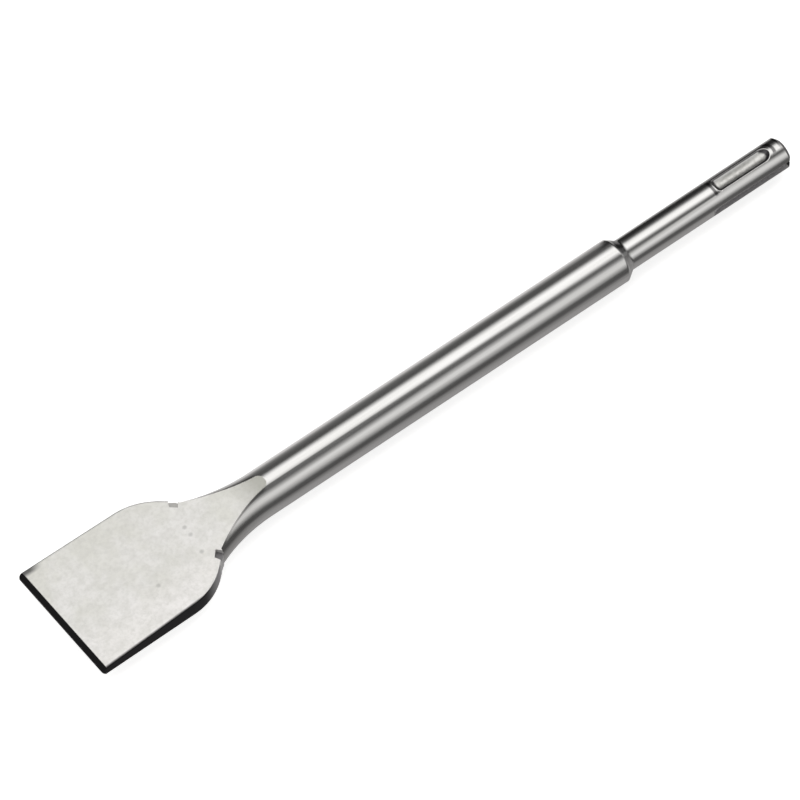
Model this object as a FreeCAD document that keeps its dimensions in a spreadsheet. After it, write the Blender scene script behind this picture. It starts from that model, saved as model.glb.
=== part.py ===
# Wide flat chisel for a rotary hammer: one steel bar, forged flat at one end and turned at the other.
#
# Millimetres. X runs along the tool, from the cutting edge towards the struck end of the shank,
# Y is across the blade and Z is square to the blade. Sketches are drawn about the tool's own axis,
# with the cutting edge at x = 0. The body's placement then sets the middle of the tool at x = 0
# and lifts its axis off the surface at z = 0, on which the rod lies.
import FreeCAD
import Part
import Sketcher

import math
import os

SIZES = {
    # whole tool, cutting edge to struck end
    "overall_length": 260.0,
    # blade: at its edge, behind the bevel, where the shoulders start, where their arc ends, outside
    # the root, and the root itself, in the neck's side
    "edge_width": 40.0,
    "edge_corner_radius": 0.8,
    "edge_land": 0.6,
    "edge_thickness": 3.3,
    "bevel_length": 1.4,
    "shoulder_start": 33.0,
    "shoulder_width": 38.2,
    "shoulder_thickness": 5.6,
    "shoulder_radius": 20.0,
    "shoulder_end": 46.2,
    "shoulder_end_rise": 2.4,
    "shoulder_root": 49.2,
    "shoulder_root_width": 22.4,
    "blade_edge_radius": 0.4,
    # neck, whose sides sweep out from the rod
    "neck_root": 48.0,
    "neck_sweep_radius": 52.0,
    "neck_end": 70.0,
    # forging fold between shoulder and neck, nicked into both faces: its blunt tip, then its mouth
    "fold_front": 46.4,
    "fold_front_offset": 10.6,
    "fold_back": 48.1,
    "fold_back_offset": 8.8,
    "fold_mouth_front": 48.0,
    "fold_mouth_back": 52.3,
    "fold_mouth_offset": 14.0,
    "fold_floor_height": 2.5,
    # side view of the two flat faces, which flare out of the blade and run out on the rod in a
    # blunt nose, as deep under the rod's surface where it starts
    "flare_start": 42.0,
    "flare_radius": 32.0,
    "ramp_exit_degrees": 2.0,
    "nose_start": 70.8,
    "nose_depth": 0.34,
    "ramp_end": 72.2,
    # round rod, and the collar that steps it down to the shank
    "rod_diameter": 14.0,
    "collar_length": 2.9,
    "collar_edge_radius": 0.8,
    "collar_root_radius": 1.0,
    # shank
    "shank_diameter": 10.0,
    "shank_length": 58.5,
    "end_chamfer": 1.0,
    # two closed grooves for the locking balls, their ends measured from the struck end
    "ball_radius": 3.5,
    "ball_groove_depth": 1.3,
    "ball_front_centre": 7.9,
    "ball_groove_back": 25.0,
    "ball_groove_corner": 1.2,
    "ball_groove_edge": 0.4,
    # two open drive slots that run out of the struck end
    "drive_slot_length": 25.0,
    "drive_slot_width": 2.8,
    "drive_slot_depth": 1.5,
    "drive_cutter_radius": 6.0,
}

# how far a cut reaches past what it clears, a turn that is more than any neck sweeps through,
# and how close a point is to a surface that it lies on
CLEAR = 2.0
NECK_TURN = 60.0
TOUCH = 0.01

# places along and around the axis, as expressions in the sizes
ROD_END = "(Sizes.overall_length - Sizes.shank_length - Sizes.collar_length)"
SHANK_START = "(Sizes.overall_length - Sizes.shank_length)"
ROD_RADIUS = "(Sizes.rod_diameter / 2)"
SWEEP_HUB = "(Sizes.rod_diameter / 2 + Sizes.neck_sweep_radius)"
SHOULDER_END_OFFSET = "(Sizes.shoulder_root_width / 2 + Sizes.shoulder_end_rise)"
NOSE_HEIGHT = "(Sizes.rod_diameter / 2 - Sizes.nose_depth)"
NOSE_SLOPE = "(Sizes.nose_depth / (Sizes.ramp_end - Sizes.nose_start))"
NOSE_EXIT = f"(Sizes.ramp_end + {CLEAR})"
NOSE_EXIT_HEIGHT = f"({ROD_RADIUS} + {CLEAR} * {NOSE_SLOPE})"
SHANK_RADIUS = "(Sizes.shank_diameter / 2)"
BALL_AXIS = "(Sizes.shank_diameter / 2 - Sizes.ball_groove_depth + Sizes.ball_radius)"
BALL_FLOOR = "(Sizes.shank_diameter / 2 - Sizes.ball_groove_depth)"
BALL_BACK = "(Sizes.overall_length - Sizes.ball_groove_back)"
BALL_FRONT = "(Sizes.overall_length - Sizes.ball_front_centre)"
SLOT_START = "(Sizes.overall_length - Sizes.drive_slot_length)"
SLOT_FLOOR = "(Sizes.shank_diameter / 2 - Sizes.drive_slot_depth)"
SLOT_TOP = f"(Sizes.shank_diameter / 2 + {CLEAR})"

# points of a sketch edge, and the sketch's own origin and axes
START, END, CENTRE = 1, 2, 3
ACROSS_AXIS, UP_AXIS = -1, -2
ORIGIN = (ACROSS_AXIS, START)

doc = FreeCAD.newDocument("flat_chisel")
sheet = doc.addObject("Spreadsheet::Sheet", "Sizes")
for row, (alias, millimetres) in enumerate(SIZES.items(), start=1):
    sheet.set(f"A{row}", alias)
    sheet.set(f"B{row}", str(millimetres))
    sheet.setAlias(f"B{row}", alias)
doc.recompute()

body = doc.addObject("PartDesign::Body", "Chisel")
body.Label = "flat_chisel"


def value(expression):
    """What an expression in the sizes comes to."""
    found = sheet.evalExpression(expression)
    return float(getattr(found, "Value", found))


def datum(role):
    """One of the body's own origin planes or axes."""
    return next(item for item in body.Origin.OriginFeatures if item.Role == role)


def new_sketch(name, role, lift=None):
    """An empty sketch on one of the body's origin planes, or at a distance from it."""
    sketch = body.newObject("Sketcher::SketchObject", name)
    sketch.AttachmentSupport = [(datum(role), "")]
    sketch.MapMode = "FlatFace"
    if lift:
        sketch.setExpression("AttachmentOffset.Base.z", lift)
    return sketch


def new_feature(kind, name, sketch=None, **settings):
    """A feature of the body, usually made from a sketch."""
    feature = body.newObject("PartDesign::" + kind, name)
    if sketch:
        feature.Profile = sketch
    for setting, wanted in settings.items():
        setattr(feature, setting, wanted)
    body.Tip = feature
    return feature


def relate(sketch, kind, *where):
    """A geometric constraint, which has no size."""
    sketch.addConstraint(Sketcher.Constraint(kind, *where))


def dimension(sketch, kind, *where, size):
    """A dimension, bound to an expression in the sizes."""
    index = sketch.addConstraint(Sketcher.Constraint(kind, *where, value(size)))
    sketch.setExpression(f"Constraints[{index}]", size)


def hold(sketch, edge, point, across=None, up=None):
    """Holds a point of an edge at signed distances from the sketch's origin."""
    if across == "0":
        relate(sketch, "PointOnObject", edge, point, UP_AXIS)
    elif across:
        dimension(sketch, "DistanceX", *ORIGIN, edge, point, size=across)
    if up == "0":
        relate(sketch, "PointOnObject", edge, point, ACROSS_AXIS)
    elif up:
        dimension(sketch, "DistanceY", *ORIGIN, edge, point, size=up)


def line(sketch, start, end, helper=False):
    """A straight edge, with its first and last point."""
    ends = FreeCAD.Vector(*start, 0), FreeCAD.Vector(*end, 0)
    return sketch.addGeometry(Part.LineSegment(*ends), helper), START, END


def arc(sketch, centre, start, end):
    """The shorter round edge about a centre, with its first and last point."""
    to_start = (start[0] - centre[0], start[1] - centre[1])
    to_end = (end[0] - centre[0], end[1] - centre[1])
    anticlockwise = to_start[0] * to_end[1] > to_start[1] * to_end[0]
    angles = [math.atan2(to_start[1], to_start[0]), math.atan2(to_end[1], to_end[0])]
    if not anticlockwise:
        angles.reverse()
    circle = Part.Circle(FreeCAD.Vector(*centre, 0), FreeCAD.Vector(0, 0, 1), math.hypot(*to_start))
    edge = sketch.addGeometry(Part.ArcOfCircle(circle, *angles), False)
    return (edge, START, END) if anticlockwise else (edge, END, START)


def outline(sketch, places, centres=None, smooth=()):
    """A closed outline through places. centres gives the arcs that start at a place, by its number,
    and smooth the numbers of the places where the outline runs on without a corner."""
    centres = centres or {}
    edges = []
    for i, start in enumerate(places):
        end = places[(i + 1) % len(places)]
        edges.append(arc(sketch, centres[i], start, end) if i in centres else line(sketch, start, end))
    for i, (edge, first, _) in enumerate(edges):
        before, _, last = edges[i - 1]
        relate(sketch, "Tangent" if i in smooth else "Coincident", before, last, edge, first)
    return edges


def polygon(sketch, corners):
    """A closed straight-sided outline. Each corner is a pair of expressions."""
    edges = outline(sketch, [(value(across), value(up)) for across, up in corners])
    for (edge, first, _), corner in zip(edges, corners):
        hold(sketch, edge, first, *corner)


def turned_bar():
    """Rod, collar and shank, turned from one bar."""
    sketch = new_sketch("TurnedProfile", "XY_Plane")
    polygon(sketch, [
        ("Sizes.neck_end", "0"),
        ("Sizes.neck_end", ROD_RADIUS),
        (ROD_END, ROD_RADIUS),
        (SHANK_START, SHANK_RADIUS),
        ("Sizes.overall_length - Sizes.end_chamfer", SHANK_RADIUS),
        ("Sizes.overall_length", SHANK_RADIUS + " - Sizes.end_chamfer"),
        ("Sizes.overall_length", "0"),
    ])
    return new_feature("Revolution", "TurnedBar", sketch, ReferenceAxis=(datum("X_Axis"), [""]), Angle=360)


def neck_blank():
    """Half of the metal that the neck is made from, as thick as the rod and as wide as the blade."""
    sketch = new_sketch("NeckBlankOutline", "XY_Plane")
    polygon(sketch, [
        ("Sizes.neck_root", "0"),
        ("Sizes.neck_end", "0"),
        ("Sizes.neck_end", "Sizes.shoulder_width / 2"),
        ("Sizes.neck_root", "Sizes.shoulder_width / 2"),
    ])
    pad = new_feature("Pad", "NeckBlank", sketch, SideType="Symmetric")
    pad.setExpression("Length", "Sizes.rod_diameter")
    return pad


def neck_sweep():
    """Cuts the neck's side: the round of the rod, swept outwards about an upright axis beside it."""
    radius = value(ROD_RADIUS)
    hub = value(SWEEP_HUB)
    over = radius + CLEAR
    sketch = new_sketch("NeckSweepProfile", "YZ_Plane", "Sizes.neck_end")
    axis = line(sketch, (hub, -over), (hub, over), helper=True)
    top, _, bottom, _, lower, upper, _ = outline(
        sketch,
        [(0.0, over), (hub, over), (hub, -over), (0.0, -over), (0.0, -radius), (radius, 0.0), (0.0, radius)],
        centres={4: (0.0, 0.0), 5: (0.0, 0.0)},
        smooth=(5,),
    )
    hold(sketch, axis[0], START, SWEEP_HUB, f"-{ROD_RADIUS} - {CLEAR}")
    hold(sketch, axis[0], END, SWEEP_HUB, f"{ROD_RADIUS} + {CLEAR}")
    hold(sketch, top[0], START, "0", f"{ROD_RADIUS} + {CLEAR}")
    relate(sketch, "Coincident", top[0], END, axis[0], END)
    relate(sketch, "Coincident", bottom[0], START, axis[0], START)
    hold(sketch, bottom[0], END, "0", f"-{ROD_RADIUS} - {CLEAR}")
    relate(sketch, "Coincident", lower[0], CENTRE, *ORIGIN)
    relate(sketch, "Coincident", upper[0], CENTRE, *ORIGIN)
    dimension(sketch, "Radius", upper[0], size=ROD_RADIUS)
    hold(sketch, lower[0], START, across="0")
    hold(sketch, upper[0], START, up="0")
    hold(sketch, upper[0], END, across="0")
    return new_feature("Groove", "NeckSweep", sketch, ReferenceAxis=(sketch, ["Axis0"]),
                       Angle=NECK_TURN, Reversed=True)


def blade_half():
    """Half of the blade seen from above, as thick as the rod until the two faces are cut."""
    corner = value("Sizes.edge_corner_radius")
    half_edge = value("Sizes.edge_width / 2")
    mark = (value("Sizes.shoulder_start"), value("Sizes.shoulder_width / 2"))
    end = (value("Sizes.shoulder_end"), value(SHOULDER_END_OFFSET))
    root = (value("Sizes.shoulder_root"), value("Sizes.shoulder_root_width / 2"))
    radius = value("Sizes.shoulder_radius")
    # the shoulder's arc leaves the straight side, which runs through the mark, and passes through its end
    lean = math.atan2(half_edge - mark[1], mark[0] - corner)
    reach = (end[0] - corner, end[1] - half_edge)
    ahead = reach[0] * math.cos(lean) - reach[1] * math.sin(lean)
    below = -reach[0] * math.sin(lean) - reach[1] * math.cos(lean)
    straight = ahead - math.sqrt(radius ** 2 - (radius - below) ** 2)
    leave = (corner + straight * math.cos(lean), half_edge - straight * math.sin(lean))
    hub = (leave[0] - radius * math.sin(lean), leave[1] - radius * math.cos(lean))
    # and a second arc runs on from it, without a corner, to the root
    out = ((end[0] - hub[0]) / radius, (end[1] - hub[1]) / radius)
    reach = (root[0] - end[0], root[1] - end[1])
    turn_back = math.hypot(*reach) ** 2 / (2 * (reach[0] * out[0] + reach[1] * out[1]))
    root_hub = (end[0] + turn_back * out[0], end[1] + turn_back * out[1])
    tail = root[0] + CLEAR

    sketch = new_sketch("BladeOutline", "XY_Plane")
    base, front, turn, flank, shoulder, run_in, _ = outline(
        sketch,
        [
            (tail, 0.0),
            (0.0, 0.0),
            (0.0, half_edge - corner),
            (corner, half_edge),
            leave,
            end,
            root,
        ],
        centres={2: (corner, half_edge - corner), 4: hub, 5: root_hub},
        smooth=(2, 3, 4, 5),
    )
    hold(sketch, base[0], START, f"Sizes.shoulder_root + {CLEAR}", "0")
    hold(sketch, base[0], END, "0", "0")
    relate(sketch, "Vertical", front[0])
    dimension(sketch, "Radius", turn[0], size="Sizes.edge_corner_radius")
    hold(sketch, flank[0], START, up="Sizes.edge_width / 2")
    side_mark = sketch.addGeometry(Part.Point(FreeCAD.Vector(*mark, 0)), True)
    hold(sketch, side_mark, START, "Sizes.shoulder_start", "Sizes.shoulder_width / 2")
    relate(sketch, "PointOnObject", side_mark, START, flank[0])
    dimension(sketch, "Radius", shoulder[0], size="Sizes.shoulder_radius")
    hold(sketch, *shoulder[::2], "Sizes.shoulder_end", SHOULDER_END_OFFSET)
    hold(sketch, *run_in[::2], "Sizes.shoulder_root", "Sizes.shoulder_root_width / 2")
    pad = new_feature("Pad", "BladeHalf", sketch, SideType="Symmetric")
    pad.setExpression("Length", "Sizes.rod_diameter")
    return pad


def upper_face():
    """All that lies above the upper face: edge land, bevel, blade, flare and ramp, seen from the side."""
    land = value("Sizes.edge_land / 2")
    bevel = (value("Sizes.bevel_length"), value("Sizes.edge_thickness / 2"))
    shoulder = (value("Sizes.shoulder_start"), value("Sizes.shoulder_thickness / 2"))
    tilt = math.atan2(shoulder[1] - bevel[1], shoulder[0] - bevel[0])
    flare_x = value("Sizes.flare_start")
    flare = (flare_x, bevel[1] + (flare_x - bevel[0]) * math.tan(tilt))
    flare_radius = value("Sizes.flare_radius")
    flare_hub = (flare[0] - flare_radius * math.sin(tilt), flare[1] + flare_radius * math.cos(tilt))
    nose = (value("Sizes.nose_start"), value(NOSE_HEIGHT))
    exit_angle = math.radians(value("Sizes.ramp_exit_degrees"))
    up = (-math.sin(exit_angle), math.cos(exit_angle))
    reach = (nose[0] - flare_hub[0], nose[1] - flare_hub[1])
    # the ramp's arc touches the flare's arc from below, and the exit line where the nose starts
    ramp_radius = (math.hypot(*reach) ** 2 - flare_radius ** 2) / (
        2 * (flare_radius + reach[0] * up[0] + reach[1] * up[1]))
    ramp_hub = (nose[0] - ramp_radius * up[0], nose[1] - ramp_radius * up[1])
    share = flare_radius / (flare_radius + ramp_radius)
    inflection = tuple(a + (b - a) * share for a, b in zip(flare_hub, ramp_hub))
    leave = (value(NOSE_EXIT), value(NOSE_EXIT_HEIGHT))
    ceiling = value(ROD_RADIUS) + 2 * CLEAR

    sketch = new_sketch("FaceProfile", "XZ_Plane")
    ahead, slant, blade, flare_arc, ramp_arc, nose_line, back, top, _ = outline(
        sketch,
        [
            (-CLEAR, land),
            (0.0, land),
            bevel,
            flare,
            inflection,
            nose,
            leave,
            (leave[0], ceiling),
            (-CLEAR, ceiling),
        ],
        centres={3: flare_hub, 4: ramp_hub},
        smooth=(3, 4),
    )
    hold(sketch, ahead[0], START, f"-{CLEAR}", "Sizes.edge_land / 2")
    hold(sketch, ahead[0], END, "0", "Sizes.edge_land / 2")
    hold(sketch, slant[0], END, "Sizes.bevel_length", "Sizes.edge_thickness / 2")
    shoulder_mark = sketch.addGeometry(Part.Point(FreeCAD.Vector(*shoulder, 0)), True)
    hold(sketch, shoulder_mark, START, "Sizes.shoulder_start", "Sizes.shoulder_thickness / 2")
    relate(sketch, "PointOnObject", shoulder_mark, START, blade[0])
    hold(sketch, blade[0], END, across="Sizes.flare_start")
    dimension(sketch, "Radius", flare_arc[0], size="Sizes.flare_radius")
    hold(sketch, nose_line[0], START, "Sizes.nose_start", NOSE_HEIGHT)
    hold(sketch, nose_line[0], END, NOSE_EXIT, NOSE_EXIT_HEIGHT)
    exit_line = line(sketch, nose, (nose[0] + CLEAR, nose[1] + CLEAR * math.tan(exit_angle)), helper=True)
    relate(sketch, "Tangent", ramp_arc[0], ramp_arc[2], *exit_line[:2])
    rise = f"{NOSE_HEIGHT} + {CLEAR} * tan(Sizes.ramp_exit_degrees * 1 deg)"
    hold(sketch, exit_line[0], END, f"Sizes.nose_start + {CLEAR}", rise)
    relate(sketch, "Vertical", back[0])
    relate(sketch, "Horizontal", top[0])
    hold(sketch, top[0], END, f"-{CLEAR}", f"{ROD_RADIUS} + {2 * CLEAR}")
    return new_feature("Pocket", "UpperFace", sketch, Type="ThroughAll", SideType="Symmetric")


def face_folds():
    """The forging fold, nicked into the upper face where each shoulder meets the neck."""
    sketch = new_sketch("Folds", "XY_Plane", "Sizes.fold_floor_height")
    for sign in ("", "-"):
        polygon(sketch, [
            ("Sizes.fold_front", sign + "Sizes.fold_front_offset"),
            ("Sizes.fold_back", sign + "Sizes.fold_back_offset"),
            ("Sizes.fold_mouth_back", sign + "Sizes.fold_mouth_offset"),
            ("Sizes.fold_mouth_front", sign + "Sizes.fold_mouth_offset"),
        ])
    return new_feature("Pocket", "UpperFolds", sketch, Type="ThroughAll", Reversed=True)


def ball_groove():
    """The closed groove for a locking ball: a round-nosed trough, square at its back."""
    sketch = new_sketch("BallGroove", "XZ_Plane")
    axis_height = value(BALL_AXIS)
    floor = value(BALL_FLOOR)
    back = value(BALL_BACK)
    front = value(BALL_FRONT)
    radius = value("Sizes.ball_radius")
    corner = value("Sizes.ball_groove_corner")
    axis = line(sketch, (back, axis_height), (front, axis_height), helper=True)
    wall, turn, bottom, nose, _ = outline(
        sketch,
        [
            (back, axis_height),
            (back, floor + corner),
            (back + corner, floor),
            (front, floor),
            (front + radius, axis_height),
        ],
        centres={1: (back + corner, floor + corner), 3: (front, axis_height)},
        smooth=(1, 2, 3),
    )
    hold(sketch, axis[0], START, BALL_BACK, BALL_AXIS)
    hold(sketch, axis[0], END, BALL_FRONT, BALL_AXIS)
    hold(sketch, wall[0], START, BALL_BACK, BALL_AXIS)
    relate(sketch, "Vertical", wall[0])
    dimension(sketch, "Radius", turn[0], size="Sizes.ball_groove_corner")
    relate(sketch, "Horizontal", bottom[0])
    relate(sketch, "Coincident", nose[0], CENTRE, axis[0], END)
    dimension(sketch, "Radius", nose[0], size="Sizes.ball_radius")
    hold(sketch, nose[0], nose[2], up=BALL_AXIS)
    return new_feature("Groove", "UpperBallGroove", sketch, ReferenceAxis=(sketch, ["Axis0"]), Angle=360)


def drive_slot():
    """The open drive slot: it runs out of the struck end, and rises to the surface at the other."""
    floor = value(SLOT_FLOOR)
    top = value(SLOT_TOP)
    start = value(SLOT_START)
    radius = value("Sizes.drive_cutter_radius")
    hub = (start, floor + radius)
    rise_start = (start - math.sqrt(radius ** 2 - (hub[1] - top) ** 2), top)
    past_end = value("Sizes.overall_length") + CLEAR
    sketch = new_sketch("DriveSlot", "XY_Plane")
    rise, bottom, ahead, _ = outline(
        sketch,
        [rise_start, (start, floor), (past_end, floor), (past_end, top)],
        centres={0: hub},
        smooth=(1,),
    )
    hold(sketch, bottom[0], START, SLOT_START, SLOT_FLOOR)
    hold(sketch, bottom[0], END, f"Sizes.overall_length + {CLEAR}", SLOT_FLOOR)
    hold(sketch, ahead[0], END, f"Sizes.overall_length + {CLEAR}", SLOT_TOP)
    dimension(sketch, "Radius", rise[0], size="Sizes.drive_cutter_radius")
    hold(sketch, rise[0], rise[1], up=SLOT_TOP)
    pocket = new_feature("Pocket", "DriveSlotCut", sketch, SideType="Symmetric")
    pocket.setExpression("Length", "Sizes.drive_slot_width")
    return pocket


def mirrored(name, role, *features):
    """The same features once more, on the other side of an origin plane."""
    return new_feature("Mirrored", name, Originals=list(features), MirrorPlane=(datum(role), [""]))


def opposite(name, feature):
    """The same feature once more, half a turn round the axis."""
    return new_feature("PolarPattern", name, Originals=[feature], Axis=(datum("X_Axis"), [""]),
                       Angle=360, Occurrences=2)


def rounded(name, radius, edges):
    """A fillet on the named edges of the body as it stands, its radius bound to a size."""
    base = body.Tip
    fillet = new_feature("Fillet", name, Base=(base, edges))
    fillet.setExpression("Radius", radius)
    return fillet


def edges_where(test):
    """The names of the edges of the body as it stands that pass a test."""
    doc.recompute()
    edges = body.Tip.Shape.Edges
    return [f"Edge{i}" for i, edge in enumerate(edges, start=1) if test(edge)]


def ring_at(station, radius):
    """A test for the circle about the axis at a station."""
    place = FreeCAD.Vector(value(station), 0, 0)
    size = value(radius)

    def test(edge):
        curve = edge.Curve
        return (isinstance(curve, Part.Circle) and abs(curve.Radius - size) < TOUCH
                and curve.Center.distanceToPoint(place) < TOUCH)
    return test


def places_along(edge):
    """Both ends of an edge and three places between them."""
    first, last = edge.ParameterRange
    return [edge.valueAt(first + (last - first) * i / 4) for i in range(5)]


def on_ball_groove_mouth(edge):
    """Whether an edge lies where a ball groove breaks out of the shank's round."""
    radius = value(SHANK_RADIUS)
    back = value(BALL_BACK) - TOUCH
    front = value(BALL_FRONT + " + Sizes.ball_radius") + TOUCH
    return all(abs(math.hypot(place.y, place.z) - radius) < TOUCH and back < place.x < front
               for place in places_along(edge))


def on_blade_side(edge):
    """Whether an edge runs along the blade, between a flat face and the side of blade or shoulder."""
    places = places_along(edge)
    front = value("Sizes.bevel_length") - TOUCH
    back = value("Sizes.shoulder_root") + TOUCH
    inner = value("Sizes.shoulder_root_width / 2") - TOUCH
    along = abs(places[0].x - places[-1].x) > TOUCH
    return along and all(front < place.x < back and abs(place.y) > inner and abs(place.z) > TOUCH
                         for place in places)


def report(stage):
    doc.recompute()
    shape = body.Tip.Shape
    print(f"{stage}: {shape.Volume:.1f} mm3, {len(shape.Faces)} faces, valid {shape.isValid()}")


turned_bar()
report("turned bar")
opposite("BallGrooves", ball_groove())
rounded("BallGrooveEdges", "Sizes.ball_groove_edge", edges_where(on_ball_groove_mouth))
report("ball grooves")
opposite("DriveSlots", drive_slot())
report("drive slots")
rounded("CollarEdge", "Sizes.collar_edge_radius", edges_where(ring_at(ROD_END, ROD_RADIUS)))
rounded("CollarRoot", "Sizes.collar_root_radius", edges_where(ring_at(SHANK_START, SHANK_RADIUS)))
report("collar")
mirrored("Neck", "XZ_Plane", neck_blank(), neck_sweep())
report("neck")
mirrored("Blade", "XZ_Plane", blade_half())
report("blade")
mirrored("LowerFace", "XY_Plane", upper_face())
report("faces")
rounded("BladeEdges", "Sizes.blade_edge_radius", edges_where(on_blade_side))
report("blade edges")
mirrored("LowerFolds", "XY_Plane", face_folds())
report("folds")

body.setExpression("Placement.Base.x", "-Sizes.overall_length / 2")
body.setExpression("Placement.Base.z", ROD_RADIUS)
doc.recompute()

failed = [item.Label for item in doc.Objects if {"Invalid", "Error"} & set(item.State)]
if failed:
    raise RuntimeError(f"failed: {failed}")
shape = body.Shape
if shape.isNull() or not shape.isValid() or len(shape.Solids) != 1:
    raise RuntimeError("the chisel is not one valid solid")

os.makedirs("parts", exist_ok=True)
shape.exportStep(f"parts/{body.Label}.step")
box = shape.optimalBoundingBox()
print(f"{body.Label}: {box.XLength:.2f} x {box.YLength:.2f} x {box.ZLength:.2f} mm, {shape.Volume:.0f} mm3")
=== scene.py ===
import math
from types import SimpleNamespace

import bpy
from mathutils import Matrix, Vector


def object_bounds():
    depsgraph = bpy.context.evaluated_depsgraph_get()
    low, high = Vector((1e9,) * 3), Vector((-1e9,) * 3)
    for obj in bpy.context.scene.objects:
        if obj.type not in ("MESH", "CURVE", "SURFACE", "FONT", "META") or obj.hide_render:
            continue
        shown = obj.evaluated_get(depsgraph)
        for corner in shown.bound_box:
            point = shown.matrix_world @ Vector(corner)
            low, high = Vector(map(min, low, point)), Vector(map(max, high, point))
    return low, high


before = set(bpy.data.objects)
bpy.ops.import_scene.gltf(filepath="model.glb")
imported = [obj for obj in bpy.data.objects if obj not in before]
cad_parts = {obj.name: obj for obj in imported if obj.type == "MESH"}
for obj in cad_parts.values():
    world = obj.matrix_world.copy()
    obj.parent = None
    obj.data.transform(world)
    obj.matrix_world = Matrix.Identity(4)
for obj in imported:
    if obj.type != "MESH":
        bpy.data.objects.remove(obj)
cad_box = [list(corner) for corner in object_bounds()]

MM = 0.001

# the tool's two ends, half its blade's width and its axis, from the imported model
(CUTTING_EDGE, _, LOWEST), (STRUCK_END, EDGE_HALF, HIGHEST) = cad_box
AXIS_HEIGHT = (LOWEST + HIGHEST) / 2

# stations along the tool
BEVEL_END = CUTTING_EDGE + 1.4 * MM
SHOULDER_START = CUTTING_EDGE + 33 * MM
FLARE_START = CUTTING_EDGE + 42 * MM
FOLD_START = CUTTING_EDGE + 46.2 * MM
NOSE_START = CUTTING_EDGE + 70.8 * MM
RAMP_END = CUTTING_EDGE + 72.2 * MM
ROD_END = STRUCK_END - 61.4 * MM
SHANK_START = STRUCK_END - 58.5 * MM
GROOVE_START = STRUCK_END - 25 * MM
GROOVE_NOSE = STRUCK_END - 7.9 * MM  # the middle of the groove's round end

ROD_RADIUS = 7 * MM
SHANK_RADIUS = 5 * MM

# half the blade's width where the shoulders start, and how fast it shrinks on the way there
SHOULDER_HALF = 19.1 * MM
EDGE_TAPER = (EDGE_HALF - SHOULDER_HALF) / (SHOULDER_START - CUTTING_EDGE)

# the flat faces seen from the side: their height above the mid-plane at the edge, behind the bevel,
# at the shoulders and where the ramp's blunt nose starts, the radius at which they flare out of the
# blade, and the ramp's slope at the nose
EDGE_HEIGHT = 0.3 * MM
BEVEL_HEIGHT = 1.65 * MM
SHOULDER_HEIGHT = 2.8 * MM
NOSE_HEIGHT = 6.66 * MM
FLARE_RADIUS = 32 * MM
NOSE_SLOPE = math.radians(2)
ARC_STEP = 2 * MM  # from one point to the next where that outline is round
CURVE_LENGTH = 80 * MM  # what the curve node's unit square stands for
CURVE_HEIGHT = 8 * MM

# a fold: where its slanted back edge would meet the axis, how far that edge runs back for each
# millimetre across, and how high its floor lies above the mid-plane
FOLD_BACK = CUTTING_EDGE + 41.0 * MM
FOLD_SLANT = 4.2 / 5.2
FOLD_FLOOR = 2.5 * MM

# small grey dents in the flat faces: distance from the cutting edge and across, in mm
DENTS = ((45.8, 2.6), (45.7, -0.3), (44.8, -6.7), (28.7, -7.8))

EDGE_BAND = 0.9 * MM  # how far in from a long edge the faces keep some scale
SKIN = 0.02 * MM  # how deep a point may lie and still count as the shank's own surface

# linear colours of the steel; where there are two, a noise pattern goes from one to the other
BAR = ((0.58, 0.575, 0.565), (0.64, 0.635, 0.63))
FACE = ((0.73, 0.725, 0.685), (0.80, 0.79, 0.775))
# painted highlight: the flat faces are painted lighter towards the near side
FACE_NEAR_SIDE_HIGHLIGHT = (0.88, 0.86, 0.85)
FACE_MOTTLE = (0.62, 0.615, 0.58)
FACE_GRAIN = (0.58, 0.575, 0.54)
DENT = (0.3, 0.3, 0.29)
RUN_OUT = (0.38, 0.38, 0.335)
MARGIN = (0.3, 0.3, 0.28)
CORNER_STAIN = (0.05, 0.05, 0.05)
ARRIS_SCALE = (0.02, 0.019, 0.022)
SCALE = ((0.003, 0.0025, 0.0035), (0.012, 0.01, 0.013))
BEVEL_BLACK = (0.001, 0.001, 0.001)
SHOULDER_GREY = (0.5, 0.49, 0.5)
FOLD = (0.62, 0.61, 0.6)
# painted shade and light: the near fold floor is painted dark as shade in the fold, the far one
# lighter
FOLD_FLOORS_SHADE_AND_LIGHT = ((0.2, 0.195, 0.2), (0.53, 0.52, 0.5))  # on the near side and on the far side
NECK = (0.33, 0.32, 0.31)
# painted shade: the neck's far flank is painted dark
NECK_FAR_FLANK_SHADE = (0.07, 0.068, 0.065)
# painted shade: a dark line where the ramp meets the neck's flanks
RAMP_LINE_SHADE = (0.05, 0.048, 0.045)
GROOVE = ((0.50, 0.495, 0.475), (0.66, 0.655, 0.635))
# painted highlight: the groove's far flank is painted lighter
GROOVE_FAR_FLANK_HIGHLIGHT = (0.93, 0.925, 0.905)
# painted shade: a dark band along the groove's floor
GROOVE_FLOOR_SHADE = (0.16, 0.16, 0.145)
# painted shade: the grooves' rims, round nose and steep back are painted dark
GROOVE_EDGE_SHADE = (0.08, 0.077, 0.08)
DRIVE_SLOT = ((0.24, 0.235, 0.24), (0.48, 0.47, 0.48))
# painted shade: dark marks past the groove's ends and on the struck end's far side
SHANK_SHADE = (0.07, 0.068, 0.07)
# painted shade: the struck end's chamfer is painted dark
CHAMFER_SHADE = (0.16, 0.157, 0.16)
# painted shade: the collar's step is painted dark, darker on the far side
COLLAR_STEP_SHADE = (0.08, 0.078, 0.08)

# roughness, where a noise pattern does the same
BAR_ROUGHNESS = (0.14, 0.22)
FACE_ROUGHNESS = (0.42, 0.56)
CUT_ROUGHNESS = (0.32, 0.44)
SCALE_ROUGHNESS = (0.35, 0.5)

# relief: how high its patterns stand, and how much the turned lines and the grain add beside the
# clouds
RELIEF_HEIGHT = 0.03 * MM
RELIEF_STRENGTH = 0.25
TURNED_SHARE = 0.15
GRAIN_SHARE = 0.6

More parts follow.
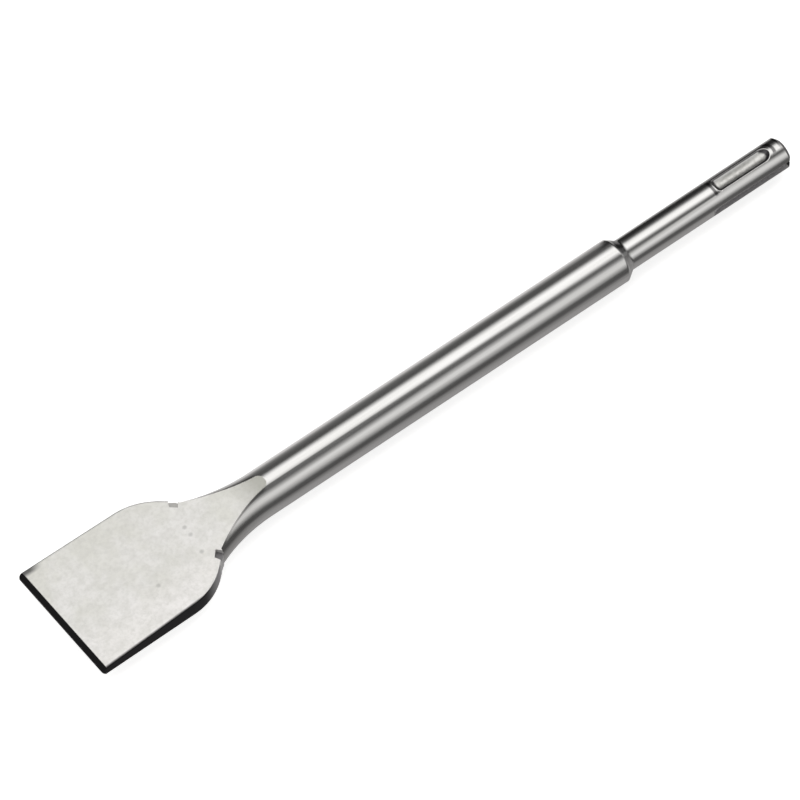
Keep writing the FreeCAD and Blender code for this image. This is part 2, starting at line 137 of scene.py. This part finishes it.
# strengths of light, where 1 is white paper, and its tints
STUDIO_LIGHT = 0.12
FLOOR_LIFT = 0.66  # what lifts the lit floor to white for the camera
CARD_LIGHT = 0.03
STUDIO_TINT = (1, 0.995, 0.985)
MIRRORED_TINT = (1, 0.985, 0.98, 1)

# soft strips of light: where each starts and ends about the tool's axis, each with half the width
# of that soft edge, all in degrees, and how much brighter it is than the studio
SOFT_STRIPS = (
    ((-40, 10), (5, 15), 0.25),
    ((53, 16), (99, 13), 1.45),
    ((130, 16), (168, 20), 0.95),
)
STRIPS_LEFT = 0.6  # the share of them that is left straight off the tool's two ends

# how bright the floor is in the steel's mirror: in front of the tool from far out to close by, what
# is added behind the tool, and the share of that which is left beside the shank
MIRRORED_FRONT = (0.12, 0.42)
MIRRORED_BEHIND = 0.55
MIRRORED_AT_SHANK = 0.12

# the dark card behind the shank: its middle, its length and its height
CARD_PLACE = (122 * MM, 34 * MM, 16 * MM)
CARD_LENGTH = 88 * MM
CARD_HEIGHT = 28 * MM

# where the photograph was taken from, about the middle of the tool's axis
AZIMUTH = math.radians(-36.4984)
ELEVATION = math.radians(57.3843)
ROLL = math.radians(-1.3961)
DISTANCE = 3.0
LENS = 473.671
MOVED_RIGHT = -7.4731 * MM
MOVED_UP = -4.2575 * MM


def make_camera():
    """The photograph's view: far off, with a long lens, and rolled a little."""
    back = Vector((math.sin(AZIMUTH) * math.cos(ELEVATION),
                   -math.cos(AZIMUTH) * math.cos(ELEVATION), math.sin(ELEVATION)))
    level = Vector((math.cos(AZIMUTH), math.sin(AZIMUTH), 0))
    upright = back.cross(level)
    right = level * math.cos(ROLL) + upright * math.sin(ROLL)
    up = upright * math.cos(ROLL) - level * math.sin(ROLL)
    middle = Vector((0, 0, AXIS_HEIGHT))
    data = bpy.data.cameras.new("camera")
    data.lens = LENS
    data.sensor_width = 36
    data.clip_start = 0.1
    data.clip_end = 20
    camera = bpy.data.objects.new("camera", data)
    bpy.context.scene.collection.objects.link(camera)
    camera.matrix_world = Matrix((right, up, back)).transposed().to_4x4()
    camera.location = middle + back * DISTANCE + right * MOVED_RIGHT + up * MOVED_UP
    bpy.context.scene.camera = camera


class Nodes:
    """A short way to write a node tree."""

    def __init__(self, tree):
        self.tree = tree
        tree.nodes.clear()

    def add(self, kind, inputs=None, **settings):
        """A node with its settings, and its inputs set or linked."""
        node = self.tree.nodes.new(kind)
        for setting, wanted in settings.items():
            setattr(node, setting, wanted)
        for key, wanted in (inputs or {}).items():
            if isinstance(wanted, bpy.types.NodeSocket):
                self.tree.links.new(wanted, node.inputs[key])
            else:
                node.inputs[key].default_value = wanted
        return node

    def math(self, operation, first, second=0.0):
        return self.add("ShaderNodeMath", {0: first, 1: second}, operation=operation).outputs[0]

    def invert(self, value):
        return self.math("SUBTRACT", 1.0, value)

    def product(self, *values):
        """All the values multiplied."""
        total = values[0]
        for value in values[1:]:
            total = self.math("MULTIPLY", total, value)
        return total

    def distance(self, first, second):
        """How far away a point is that lies so far along one axis and so far along another."""
        squares = self.math("ADD", self.math("POWER", first, 2.0), self.math("POWER", second, 2.0))
        return self.math("SQRT", squares)

    def ramp(self, value, low, high, start=0.0, end=1.0):
        """A smooth change from start to end as value goes from low to high. Where low is the larger
        of the two, it goes down."""
        node = self.add("ShaderNodeMapRange", {"Value": value, "From Min": low, "From Max": high,
                                               "To Min": start, "To Max": end},
                        interpolation_type="SMOOTHSTEP")
        return node.outputs[0]

    def blend(self, factor, first, second):
        """A number between two."""
        node = self.add("ShaderNodeMix", {0: factor, 2: first, 3: second}, data_type="FLOAT")
        return node.outputs[0]

    def mix(self, factor, first, second):
        """A colour between two, each a socket or three numbers."""
        first, second = [colour if isinstance(colour, bpy.types.NodeSocket) else (*colour, 1)
                         for colour in (first, second)]
        node = self.add("ShaderNodeMix", {0: factor, 6: first, 7: second}, data_type="RGBA")
        return node.outputs[2]

    def paint(self, colour, *layers):
        """A colour with layers over it, each a mask, a strength and a colour."""
        for mask, strength, layer in layers:
            colour = self.mix(self.math("MULTIPLY", mask, strength), colour, layer)
        return colour

    def noise(self, vector, scale, detail, roughness):
        node = self.add("ShaderNodeTexNoise", {"Vector": vector, "Scale": scale, "Detail": detail,
                                               "Roughness": roughness})
        return node.outputs["Fac"]

    def stretch(self, vector, along, across, up):
        """The same coordinates, closer or wider along each axis."""
        node = self.add("ShaderNodeVectorMath", {0: vector, 1: (along, across, up)},
                        operation="MULTIPLY")
        return node.outputs[0]


def face_outline():
    """The flat face seen from the side, as points of station and height: bevel, blade, the arc that
    flares out of it, the ramp's arc, which touches the first and the line at the nose, and the
    nose."""
    bevel = Vector((BEVEL_END, BEVEL_HEIGHT))
    blade = Vector((SHOULDER_START, SHOULDER_HEIGHT)) - bevel
    flare = bevel + blade * (FLARE_START - BEVEL_END) / blade.x
    flare_hub = flare + Vector((-blade.y, blade.x)).normalized() * FLARE_RADIUS
    nose = Vector((NOSE_START, NOSE_HEIGHT))
    up = Vector((-math.sin(NOSE_SLOPE), math.cos(NOSE_SLOPE)))
    reach = nose - flare_hub
    ramp_radius = (reach.length_squared - FLARE_RADIUS ** 2) / (
        2 * (FLARE_RADIUS + reach.dot(up)))
    ramp_hub = nose - up * ramp_radius
    arcs_meet = flare_hub.lerp(ramp_hub, FLARE_RADIUS / (FLARE_RADIUS + ramp_radius)).x

    points = [(CUTTING_EDGE, EDGE_HEIGHT), bevel]
    for i in range(math.ceil((NOSE_START - FLARE_START) / ARC_STEP)):
        station = FLARE_START + i * ARC_STEP
        if station < arcs_meet:
            drop = math.sqrt(FLARE_RADIUS ** 2 - (station - flare_hub.x) ** 2)
            points.append((station, flare_hub.y - drop))
        else:
            rise = math.sqrt(ramp_radius ** 2 - (station - ramp_hub.x) ** 2)
            points.append((station, ramp_hub.y + rise))
    return points + [nose, (RAMP_END, ROD_RADIUS)]


def read_place(n):
    """Where a point of the steel lies in the tool's own frame: its coordinates, how far it is from
    the cutting edge, the two mid-planes and the axis, and how far below the flat face."""
    coordinates = n.add("ShaderNodeTexCoord").outputs["Object"]
    x, y, z = n.add("ShaderNodeSeparateXYZ", {0: coordinates}).outputs
    off_plane = n.math("ABSOLUTE", n.math("SUBTRACT", z, AXIS_HEIGHT))
    from_edge = n.math("SUBTRACT", x, CUTTING_EDGE)
    curve = n.add("ShaderNodeFloatCurve", {"Value": n.math("DIVIDE", from_edge, CURVE_LENGTH)})
    points = curve.mapping.curves[0].points
    for i, (station, height) in enumerate(face_outline()):
        where = ((station - CUTTING_EDGE) / CURVE_LENGTH, height / CURVE_HEIGHT)
        # a new curve comes with two points
        point = points[i] if i < 2 else points.new(*where)
        point.location = where
        point.handle_type = "VECTOR"
    curve.mapping.update()
    face_height = n.math("MULTIPLY", curve.outputs[0], CURVE_HEIGHT)
    return SimpleNamespace(
        coordinates=coordinates, x=x, y=y, from_edge=from_edge, off_plane=off_plane,
        off_middle=n.math("ABSOLUTE", y), off_axis=n.distance(y, off_plane),
        below_face=n.math("SUBTRACT", face_height, off_plane))


def read_noise(n, at):
    """The patterns that colour, roughness and relief share: clouds, mottle and grain, each finer
    than the one before, streaks along the tool and turned lines round it."""
    lengthwise = n.stretch(at.coordinates, along=25, across=900, up=900)
    around = n.stretch(at.coordinates, along=3000, across=40, up=40)
    return SimpleNamespace(
        cloud=n.noise(at.coordinates, scale=90, detail=4, roughness=0.55),
        mottle=n.noise(at.coordinates, scale=330, detail=3, roughness=0.6),
        grain=n.noise(at.coordinates, scale=900, detail=3, roughness=0.6),
        streak=n.noise(lengthwise, scale=1, detail=3, roughness=0.5),
        turned=n.noise(around, scale=1, detail=2, roughness=0.5))


def blade_masks(n, at):
    """Where the faces, walls and folds of the blade and the flanks of the neck are: 1 there, and
    0 elsewhere."""
    flat = n.product(n.ramp(at.below_face, 0.08 * MM, 0.04 * MM),
                     n.ramp(at.x, RAMP_END, RAMP_END - 0.3 * MM))
    side = n.invert(flat)
    bevel = n.ramp(at.x, BEVEL_END + 0.1 * MM, BEVEL_END - 0.1 * MM)
    # the side wall is black along the straight part and turns grey round the shoulder
    wall = n.product(side, n.ramp(at.x, FOLD_START, FOLD_START - 0.2 * MM))
    shoulder = n.product(wall, n.ramp(at.x, SHOULDER_START + 4 * MM, FOLD_START + 1 * MM))
    # the folds as a whole, and their floors alone
    past_wall = n.ramp(at.x, FOLD_START - 0.2 * MM, FOLD_START)
    slanted = n.math("SUBTRACT", at.x, n.math("MULTIPLY", at.off_middle, FOLD_SLANT))
    fold = n.product(side, past_wall,
                     n.ramp(slanted, FOLD_BACK + 0.15 * MM, FOLD_BACK + 0.05 * MM),
                     n.ramp(at.off_plane, FOLD_FLOOR - 0.1 * MM, FOLD_FLOOR - 0.05 * MM))
    fold_floor = n.product(fold, n.ramp(at.off_plane, FOLD_FLOOR + 0.12 * MM,
                                        FOLD_FLOOR + 0.04 * MM))
    # the neck's round flanks, the far one alone, which is painted dark as shade, and the line where
    # the ramp meets them, which is painted dark as shade too
    neck = n.product(side, past_wall, n.ramp(at.x, RAMP_END, RAMP_END - 20 * MM))
    far_flank_shade = n.product(neck, n.ramp(at.y, 2 * MM, 4 * MM))
    ramp_line_shade = n.product(side, n.ramp(at.below_face, 0.5 * MM, 0.3 * MM),
                          n.ramp(at.x, RAMP_END - 18.2 * MM, RAMP_END - 12.2 * MM),
                          n.ramp(at.x, RAMP_END - 1 * MM, RAMP_END - 3 * MM))
    return SimpleNamespace(
        flat=flat, satin=n.product(flat, n.invert(bevel)), bevel=bevel,
        black=n.math("MAXIMUM", wall, bevel), shoulder=shoulder, fold=fold,
        fold_floor=fold_floor, neck=neck, far_flank_shade=far_flank_shade, ramp_line_shade=ramp_line_shade)


def face_masks(n, at):
    """What lies on the flat faces: dents, the greyer end of the ramp, and what the grinder left
    of the scale at the far corner, along the far edge and on the near arris."""
    dents = 0.0
    for station, across in DENTS:
        away = n.distance(n.math("SUBTRACT", at.x, CUTTING_EDGE + station * MM),
                          n.math("SUBTRACT", at.y, across * MM))
        dents = n.math("ADD", n.ramp(away, 1 * MM, 0.2 * MM), dents)
    run_out = n.ramp(at.x, RAMP_END - 13 * MM, RAMP_END - 1 * MM)
    shrunk = n.math("MULTIPLY", at.from_edge, EDGE_TAPER)
    to_far = n.math("ADD", at.y, shrunk)
    to_near = n.math("SUBTRACT", shrunk, at.y)
    corner = n.product(n.ramp(to_far, EDGE_HALF - 2.5 * MM, EDGE_HALF - EDGE_BAND),
                       n.ramp(at.x, CUTTING_EDGE + 8 * MM, CUTTING_EDGE + 3 * MM))
    margin = n.product(n.ramp(to_far, EDGE_HALF - EDGE_BAND, EDGE_HALF),
                       n.ramp(at.x, SHOULDER_START + 6 * MM, SHOULDER_START))
    arris = n.ramp(to_near, EDGE_HALF - EDGE_BAND, EDGE_HALF - 0.1 * MM)
    return SimpleNamespace(dents=dents, run_out=run_out, corner=corner, margin=margin, arris=arris)


def groove_masks(n, at):
    """What is cut into the shank, which is the ball grooves and the drive slots, the grooves' edges
    painted dark as shade: the rims, the round nose and the steep back, and painted shade along the
    groove's floor."""
    sunk = n.product(n.ramp(at.off_axis, SHANK_RADIUS - SKIN, SHANK_RADIUS - 0.12 * MM),
                     n.ramp(at.x, GROOVE_START - 10 * MM, GROOVE_START - 9 * MM),
                     n.ramp(at.x, STRUCK_END - 1.1 * MM, STRUCK_END - 1.3 * MM))
    slot = n.product(sunk, n.ramp(n.math("SUBTRACT", at.off_middle, at.off_plane), 0, 0.4 * MM))
    groove = n.product(sunk, n.invert(slot))
    # a rim is a band under the shank's surface, wider on the near side, painted dark as shade
    rim_floor = n.ramp(at.y, -0.5 * MM, 1 * MM, SHANK_RADIUS - 0.8 * MM, SHANK_RADIUS - 0.4 * MM)
    rim = n.product(n.ramp(at.off_axis, SHANK_RADIUS - SKIN, SHANK_RADIUS - 0.07 * MM),
                    n.ramp(at.off_axis, rim_floor, n.math("ADD", rim_floor, 0.2 * MM)),
                    n.ramp(at.x, GROOVE_START - 0.6 * MM, GROOVE_START - 0.4 * MM),
                    n.ramp(at.x, GROOVE_NOSE + 4 * MM, GROOVE_NOSE + 3.6 * MM), n.invert(slot))
    from_nose = n.distance(n.math("SUBTRACT", at.x, GROOVE_NOSE), at.y)
    nose = n.product(groove, n.ramp(from_nose, 1.1 * MM, 1.8 * MM),
                     n.ramp(at.x, GROOVE_NOSE, GROOVE_NOSE + 0.8 * MM))
    back = n.product(groove, n.ramp(at.x, GROOVE_START + 1.4 * MM, GROOVE_START + 0.8 * MM),
                     n.ramp(at.off_plane, 2 * MM, 3 * MM))
    # painted shade along the floor, a little to the far side of its middle
    off_stain = n.math("ABSOLUTE", n.math("SUBTRACT", at.y, 0.9 * MM))
    floor_shade = n.product(n.ramp(off_stain, 0.9 * MM, 0.1 * MM, 0, 0.5),
                      n.ramp(at.x, GROOVE_START + 1 * MM, GROOVE_START + 5 * MM),
                      n.ramp(at.x, GROOVE_NOSE, GROOVE_NOSE - 4 * MM))
    return SimpleNamespace(
        sunk=sunk, slot=slot, floor_shade=floor_shade, from_nose=from_nose,
        edge=n.math("MAXIMUM", rim, n.math("MAXIMUM", nose, back)))


def shank_masks(n, at, from_nose):
    """Painted shade on the shank: dark marks on the round past both ends of the groove, the struck
    end painted darker towards the far side, its chamfer painted dark, and the collar's step,
    painted darker on the far side."""
    past_nose = n.product(n.ramp(from_nose, 3.5 * MM, 3.9 * MM),
                          n.ramp(from_nose, 5 * MM, 4.5 * MM),
                          n.ramp(at.x, GROOVE_NOSE + 2 * MM, GROOVE_NOSE + 3 * MM),
                          n.ramp(at.y, -2 * MM, -1 * MM),
                          n.ramp(at.off_plane, 3 * MM, 3.6 * MM))
    before_back = n.product(n.ramp(at.x, GROOVE_START - 1.7 * MM, GROOVE_START - 1.2 * MM),
                            n.ramp(at.x, GROOVE_START - 0.3 * MM, GROOVE_START - 0.7 * MM),
                            n.ramp(at.off_middle, 3 * MM, 2.2 * MM),
                            n.ramp(at.off_plane, 3 * MM, 4 * MM))
    end_shade = n.product(n.ramp(at.x, STRUCK_END - 2 * MM, STRUCK_END - 1.4 * MM),
                          n.ramp(at.y, -2.5 * MM, 0.5 * MM))
    step = n.product(n.ramp(at.x, ROD_END + 0.5 * MM, ROD_END + 0.9 * MM),
                     n.ramp(at.x, SHANK_START + 0.6 * MM, SHANK_START - 0.2 * MM),
                     n.ramp(at.y, -5 * MM, 0, 0.25, 1))
    return SimpleNamespace(
        mark=n.math("MAXIMUM", past_nose, before_back), end_shade=end_shade, step=step,
        chamfer=n.ramp(at.x, STRUCK_END - 1.05 * MM, STRUCK_END - 0.95 * MM))


def steel_colour(n, at, noise, blade, face, groove, shank):
    """The bar's own colour, and over it, layer by layer, the faces, what is cut in, the stains,
    painted shade and highlights, and the scale."""
    bar_colour = n.mix(n.ramp(noise.streak, 0.3, 0.7), *BAR)
    face_colour = n.paint(
        n.mix(n.ramp(noise.cloud, 0.35, 0.65), *FACE),
        # painted highlight: lighter towards the near side
        (n.ramp(at.y, -2 * MM, -17 * MM), 0.75, FACE_NEAR_SIDE_HIGHLIGHT),
        (n.ramp(noise.mottle, 0.36, 0.68), 0.35, FACE_MOTTLE),
        (n.ramp(noise.grain, 0.4, 0.7), 0.25, FACE_GRAIN),
        (face.dents, 0.38, DENT),
        (face.run_out, 0.75, RUN_OUT),
        (face.margin, 0.35, MARGIN),
        (face.corner, 0.85, CORNER_STAIN),
        (face.arris, 1, ARRIS_SCALE))
    groove_colour = n.paint(
        n.mix(n.ramp(noise.grain, 0.35, 0.65), *GROOVE),
        # painted highlight on the groove's far flank
        (n.ramp(at.y, 0.9 * MM, 1.6 * MM), 1, GROOVE_FAR_FLANK_HIGHLIGHT),
        (groove.floor_shade, n.ramp(noise.cloud, 0.3, 0.6, 0.5, 1), GROOVE_FLOOR_SHADE))
    scale_colour = n.paint(n.mix(noise.grain, *SCALE), (blade.bevel, 0.7, BEVEL_BLACK))
    # painted shade on the near fold floor, painted light on the far one
    fold_floor_shade_and_light = n.mix(n.ramp(at.y, -5 * MM, 5 * MM), *FOLD_FLOORS_SHADE_AND_LIGHT)
    return n.paint(
        bar_colour,
        (blade.satin, 1, face_colour),
        (blade.neck, 0.35, NECK),
        (blade.far_flank_shade, 0.75, NECK_FAR_FLANK_SHADE),
        (blade.ramp_line_shade, 0.5, RAMP_LINE_SHADE),
        (blade.fold, 1, FOLD),
        (blade.fold_floor, 1, fold_floor_shade_and_light),
        (groove.sunk, 1, groove_colour),
        (groove.slot, 1, n.mix(noise.grain, *DRIVE_SLOT)),
        (groove.edge, 1, GROOVE_EDGE_SHADE),
        (shank.mark, 0.85, SHANK_SHADE),
        (shank.end_shade, 0.85, SHANK_SHADE),
        (shank.chamfer, 1, CHAMFER_SHADE),
        (shank.step, 0.8, COLLAR_STEP_SHADE),
        (blade.black, 1, scale_colour),
        (blade.shoulder, 1, SHOULDER_GREY))


def steel():
    """One piece of steel: a polished round bar, satin flat faces and blackened side walls and
    bevel."""
    material = bpy.data.materials.new("steel")
    material.use_nodes = True
    n = Nodes(material.node_tree)
    at = read_place(n)
    noise = read_noise(n, at)
    blade = blade_masks(n, at)
    face = face_masks(n, at)
    groove = groove_masks(n, at)
    shank = shank_masks(n, at, groove.from_nose)
    colour = steel_colour(n, at, noise, blade, face, groove, shank)

    roughness = n.blend(blade.satin, n.blend(noise.streak, *BAR_ROUGHNESS),
                        n.blend(noise.grain, *FACE_ROUGHNESS))
    roughness = n.blend(n.math("MAXIMUM", groove.sunk, blade.fold), roughness,
                        n.blend(noise.grain, *CUT_ROUGHNESS))
    roughness = n.blend(blade.black, roughness, n.blend(noise.grain, *SCALE_ROUGHNESS))

    # neither scale nor the slots mirror as metal does, and the folds do only in part
    scaled = n.product(blade.black, n.invert(blade.shoulder))
    metallic = n.product(n.invert(scaled), n.invert(groove.slot),
                         n.invert(n.product(blade.fold, 0.7)))

    # relief: shot-blasted grain on the faces and in the cuts, fine turned lines on the round
    turned = n.product(noise.turned, TURNED_SHARE)
    blasted = n.math("ADD", n.product(noise.grain, GRAIN_SHARE), noise.cloud)
    relief = n.blend(n.math("MAXIMUM", blade.flat, groove.sunk), turned, blasted)
    bump = n.add("ShaderNodeBump", {"Strength": RELIEF_STRENGTH, "Distance": RELIEF_HEIGHT,
                                    "Height": relief})

    shader = n.add("ShaderNodeBsdfPrincipled", {"Base Color": colour, "Metallic": metallic,
                                                "Roughness": roughness, "IOR": 1.3,
                                                "Normal": bump.outputs[0]})
    n.add("ShaderNodeOutputMaterial", {"Surface": shader.outputs[0]})
    return material


def make_floor():
    """A pale floor that the camera sees as white paper, with the tool's soft shadow on it. In the
    steel's mirror it is grey in front of the tool and darker further out. Behind the tool it is
    nearly white, and dims with distance and towards the shank."""
    bpy.ops.mesh.primitive_plane_add(size=8, location=(0, 0, 0))
    floor = bpy.context.object
    floor.name = "floor"
    material = bpy.data.materials.new("floor")
    material.use_nodes = True
    n = Nodes(material.node_tree)
    ray = n.add("ShaderNodeLightPath").outputs
    paper = n.add("ShaderNodeBsdfDiffuse", {"Color": (0.8, 0.8, 0.8, 1)})
    lift = n.add("ShaderNodeEmission", {"Color": (1, 1, 1, 1),
                                        "Strength": n.product(ray["Is Camera Ray"], FLOOR_LIFT)})
    seen = n.add("ShaderNodeAddShader", {0: paper.outputs[0], 1: lift.outputs[0]})
    position = n.add("ShaderNodeNewGeometry").outputs["Position"]
    along, across, _ = n.add("ShaderNodeSeparateXYZ", {0: position}).outputs
    front = n.ramp(across, -32 * MM, -11 * MM, *MIRRORED_FRONT)
    behind = n.product(n.ramp(across, 0, 9 * MM),
                       n.ramp(across, 100 * MM, 12 * MM, 0, MIRRORED_BEHIND),
                       n.ramp(along, 60 * MM, 95 * MM, 1, MIRRORED_AT_SHANK))
    mirrored = n.add("ShaderNodeEmission", {"Color": MIRRORED_TINT,
                                            "Strength": n.math("ADD", front, behind)})
    both = n.add("ShaderNodeMixShader", {0: ray["Is Glossy Ray"], 1: seen.outputs[0],
                                         2: mirrored.outputs[0]})
    n.add("ShaderNodeOutputMaterial", {"Surface": both.outputs[0]})
    floor.data.materials.append(material)


def make_dark_card():
    """A dark card upright behind the shank. Only the steel mirrors it, which draws the shank's far
    side dark."""
    bpy.ops.mesh.primitive_plane_add(size=1, location=CARD_PLACE,
                                     rotation=(math.radians(90), 0, 0))
    card = bpy.context.object
    card.name = "dark_card"
    card.scale = (CARD_LENGTH, CARD_HEIGHT, 1)
    material = bpy.data.materials.new("dark_card")
    material.use_nodes = True
    n = Nodes(material.node_tree)
    paper = n.add("ShaderNodeEmission", {"Color": (1, 1, 1, 1), "Strength": CARD_LIGHT})
    n.add("ShaderNodeOutputMaterial", {"Surface": paper.outputs[0]})
    card.data.materials.append(material)
    card.visible_camera = False
    card.visible_diffuse = False
    card.visible_shadow = False


def make_world():
    """White to the camera. To all else it is a dim studio with soft strips of light, much longer
    than the tool: one overhead, a weaker one on the near side and a faint one along the far
    horizon. Angles run about the tool's axis, in degrees, from the level far side over the top."""
    world = bpy.data.worlds.new("studio")
    world.use_nodes = True
    n = Nodes(world.node_tree)
    camera_ray = n.add("ShaderNodeLightPath").outputs["Is Camera Ray"]
    direction = n.add("ShaderNodeTexCoord").outputs["Generated"]
    x, y, z = n.add("ShaderNodeSeparateXYZ", {0: direction}).outputs
    angle = n.math("DEGREES", n.math("ARCTAN2", z, y))
    reach = n.ramp(n.math("ABSOLUTE", x), 1.0, 0.62, STRIPS_LEFT, 1.0)
    light = STUDIO_LIGHT
    for (start, start_soft), (end, end_soft), strength in SOFT_STRIPS:
        strip = n.product(n.ramp(angle, start - start_soft, start + start_soft),
                          n.ramp(angle, end + end_soft, end - end_soft), reach)
        light = n.math("ADD", light, n.product(strip, strength))
    tint = n.mix(camera_ray, STUDIO_TINT, (1, 1, 1))
    background = n.add("ShaderNodeBackground", {"Color": tint,
                                                "Strength": n.blend(camera_ray, light, 1.0)})
    n.add("ShaderNodeOutputWorld", {"Surface": background.outputs[0]})
    bpy.context.scene.world = world


make_camera()
make_world()
make_floor()
make_dark_card()

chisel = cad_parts["flat_chisel"]
finish = steel()
for slot in chisel.material_slots:
    slot.link = "OBJECT"
    slot.material = finish

bpy.context.scene.view_settings.view_transform = "Standard"

bpy.context.view_layer.update()
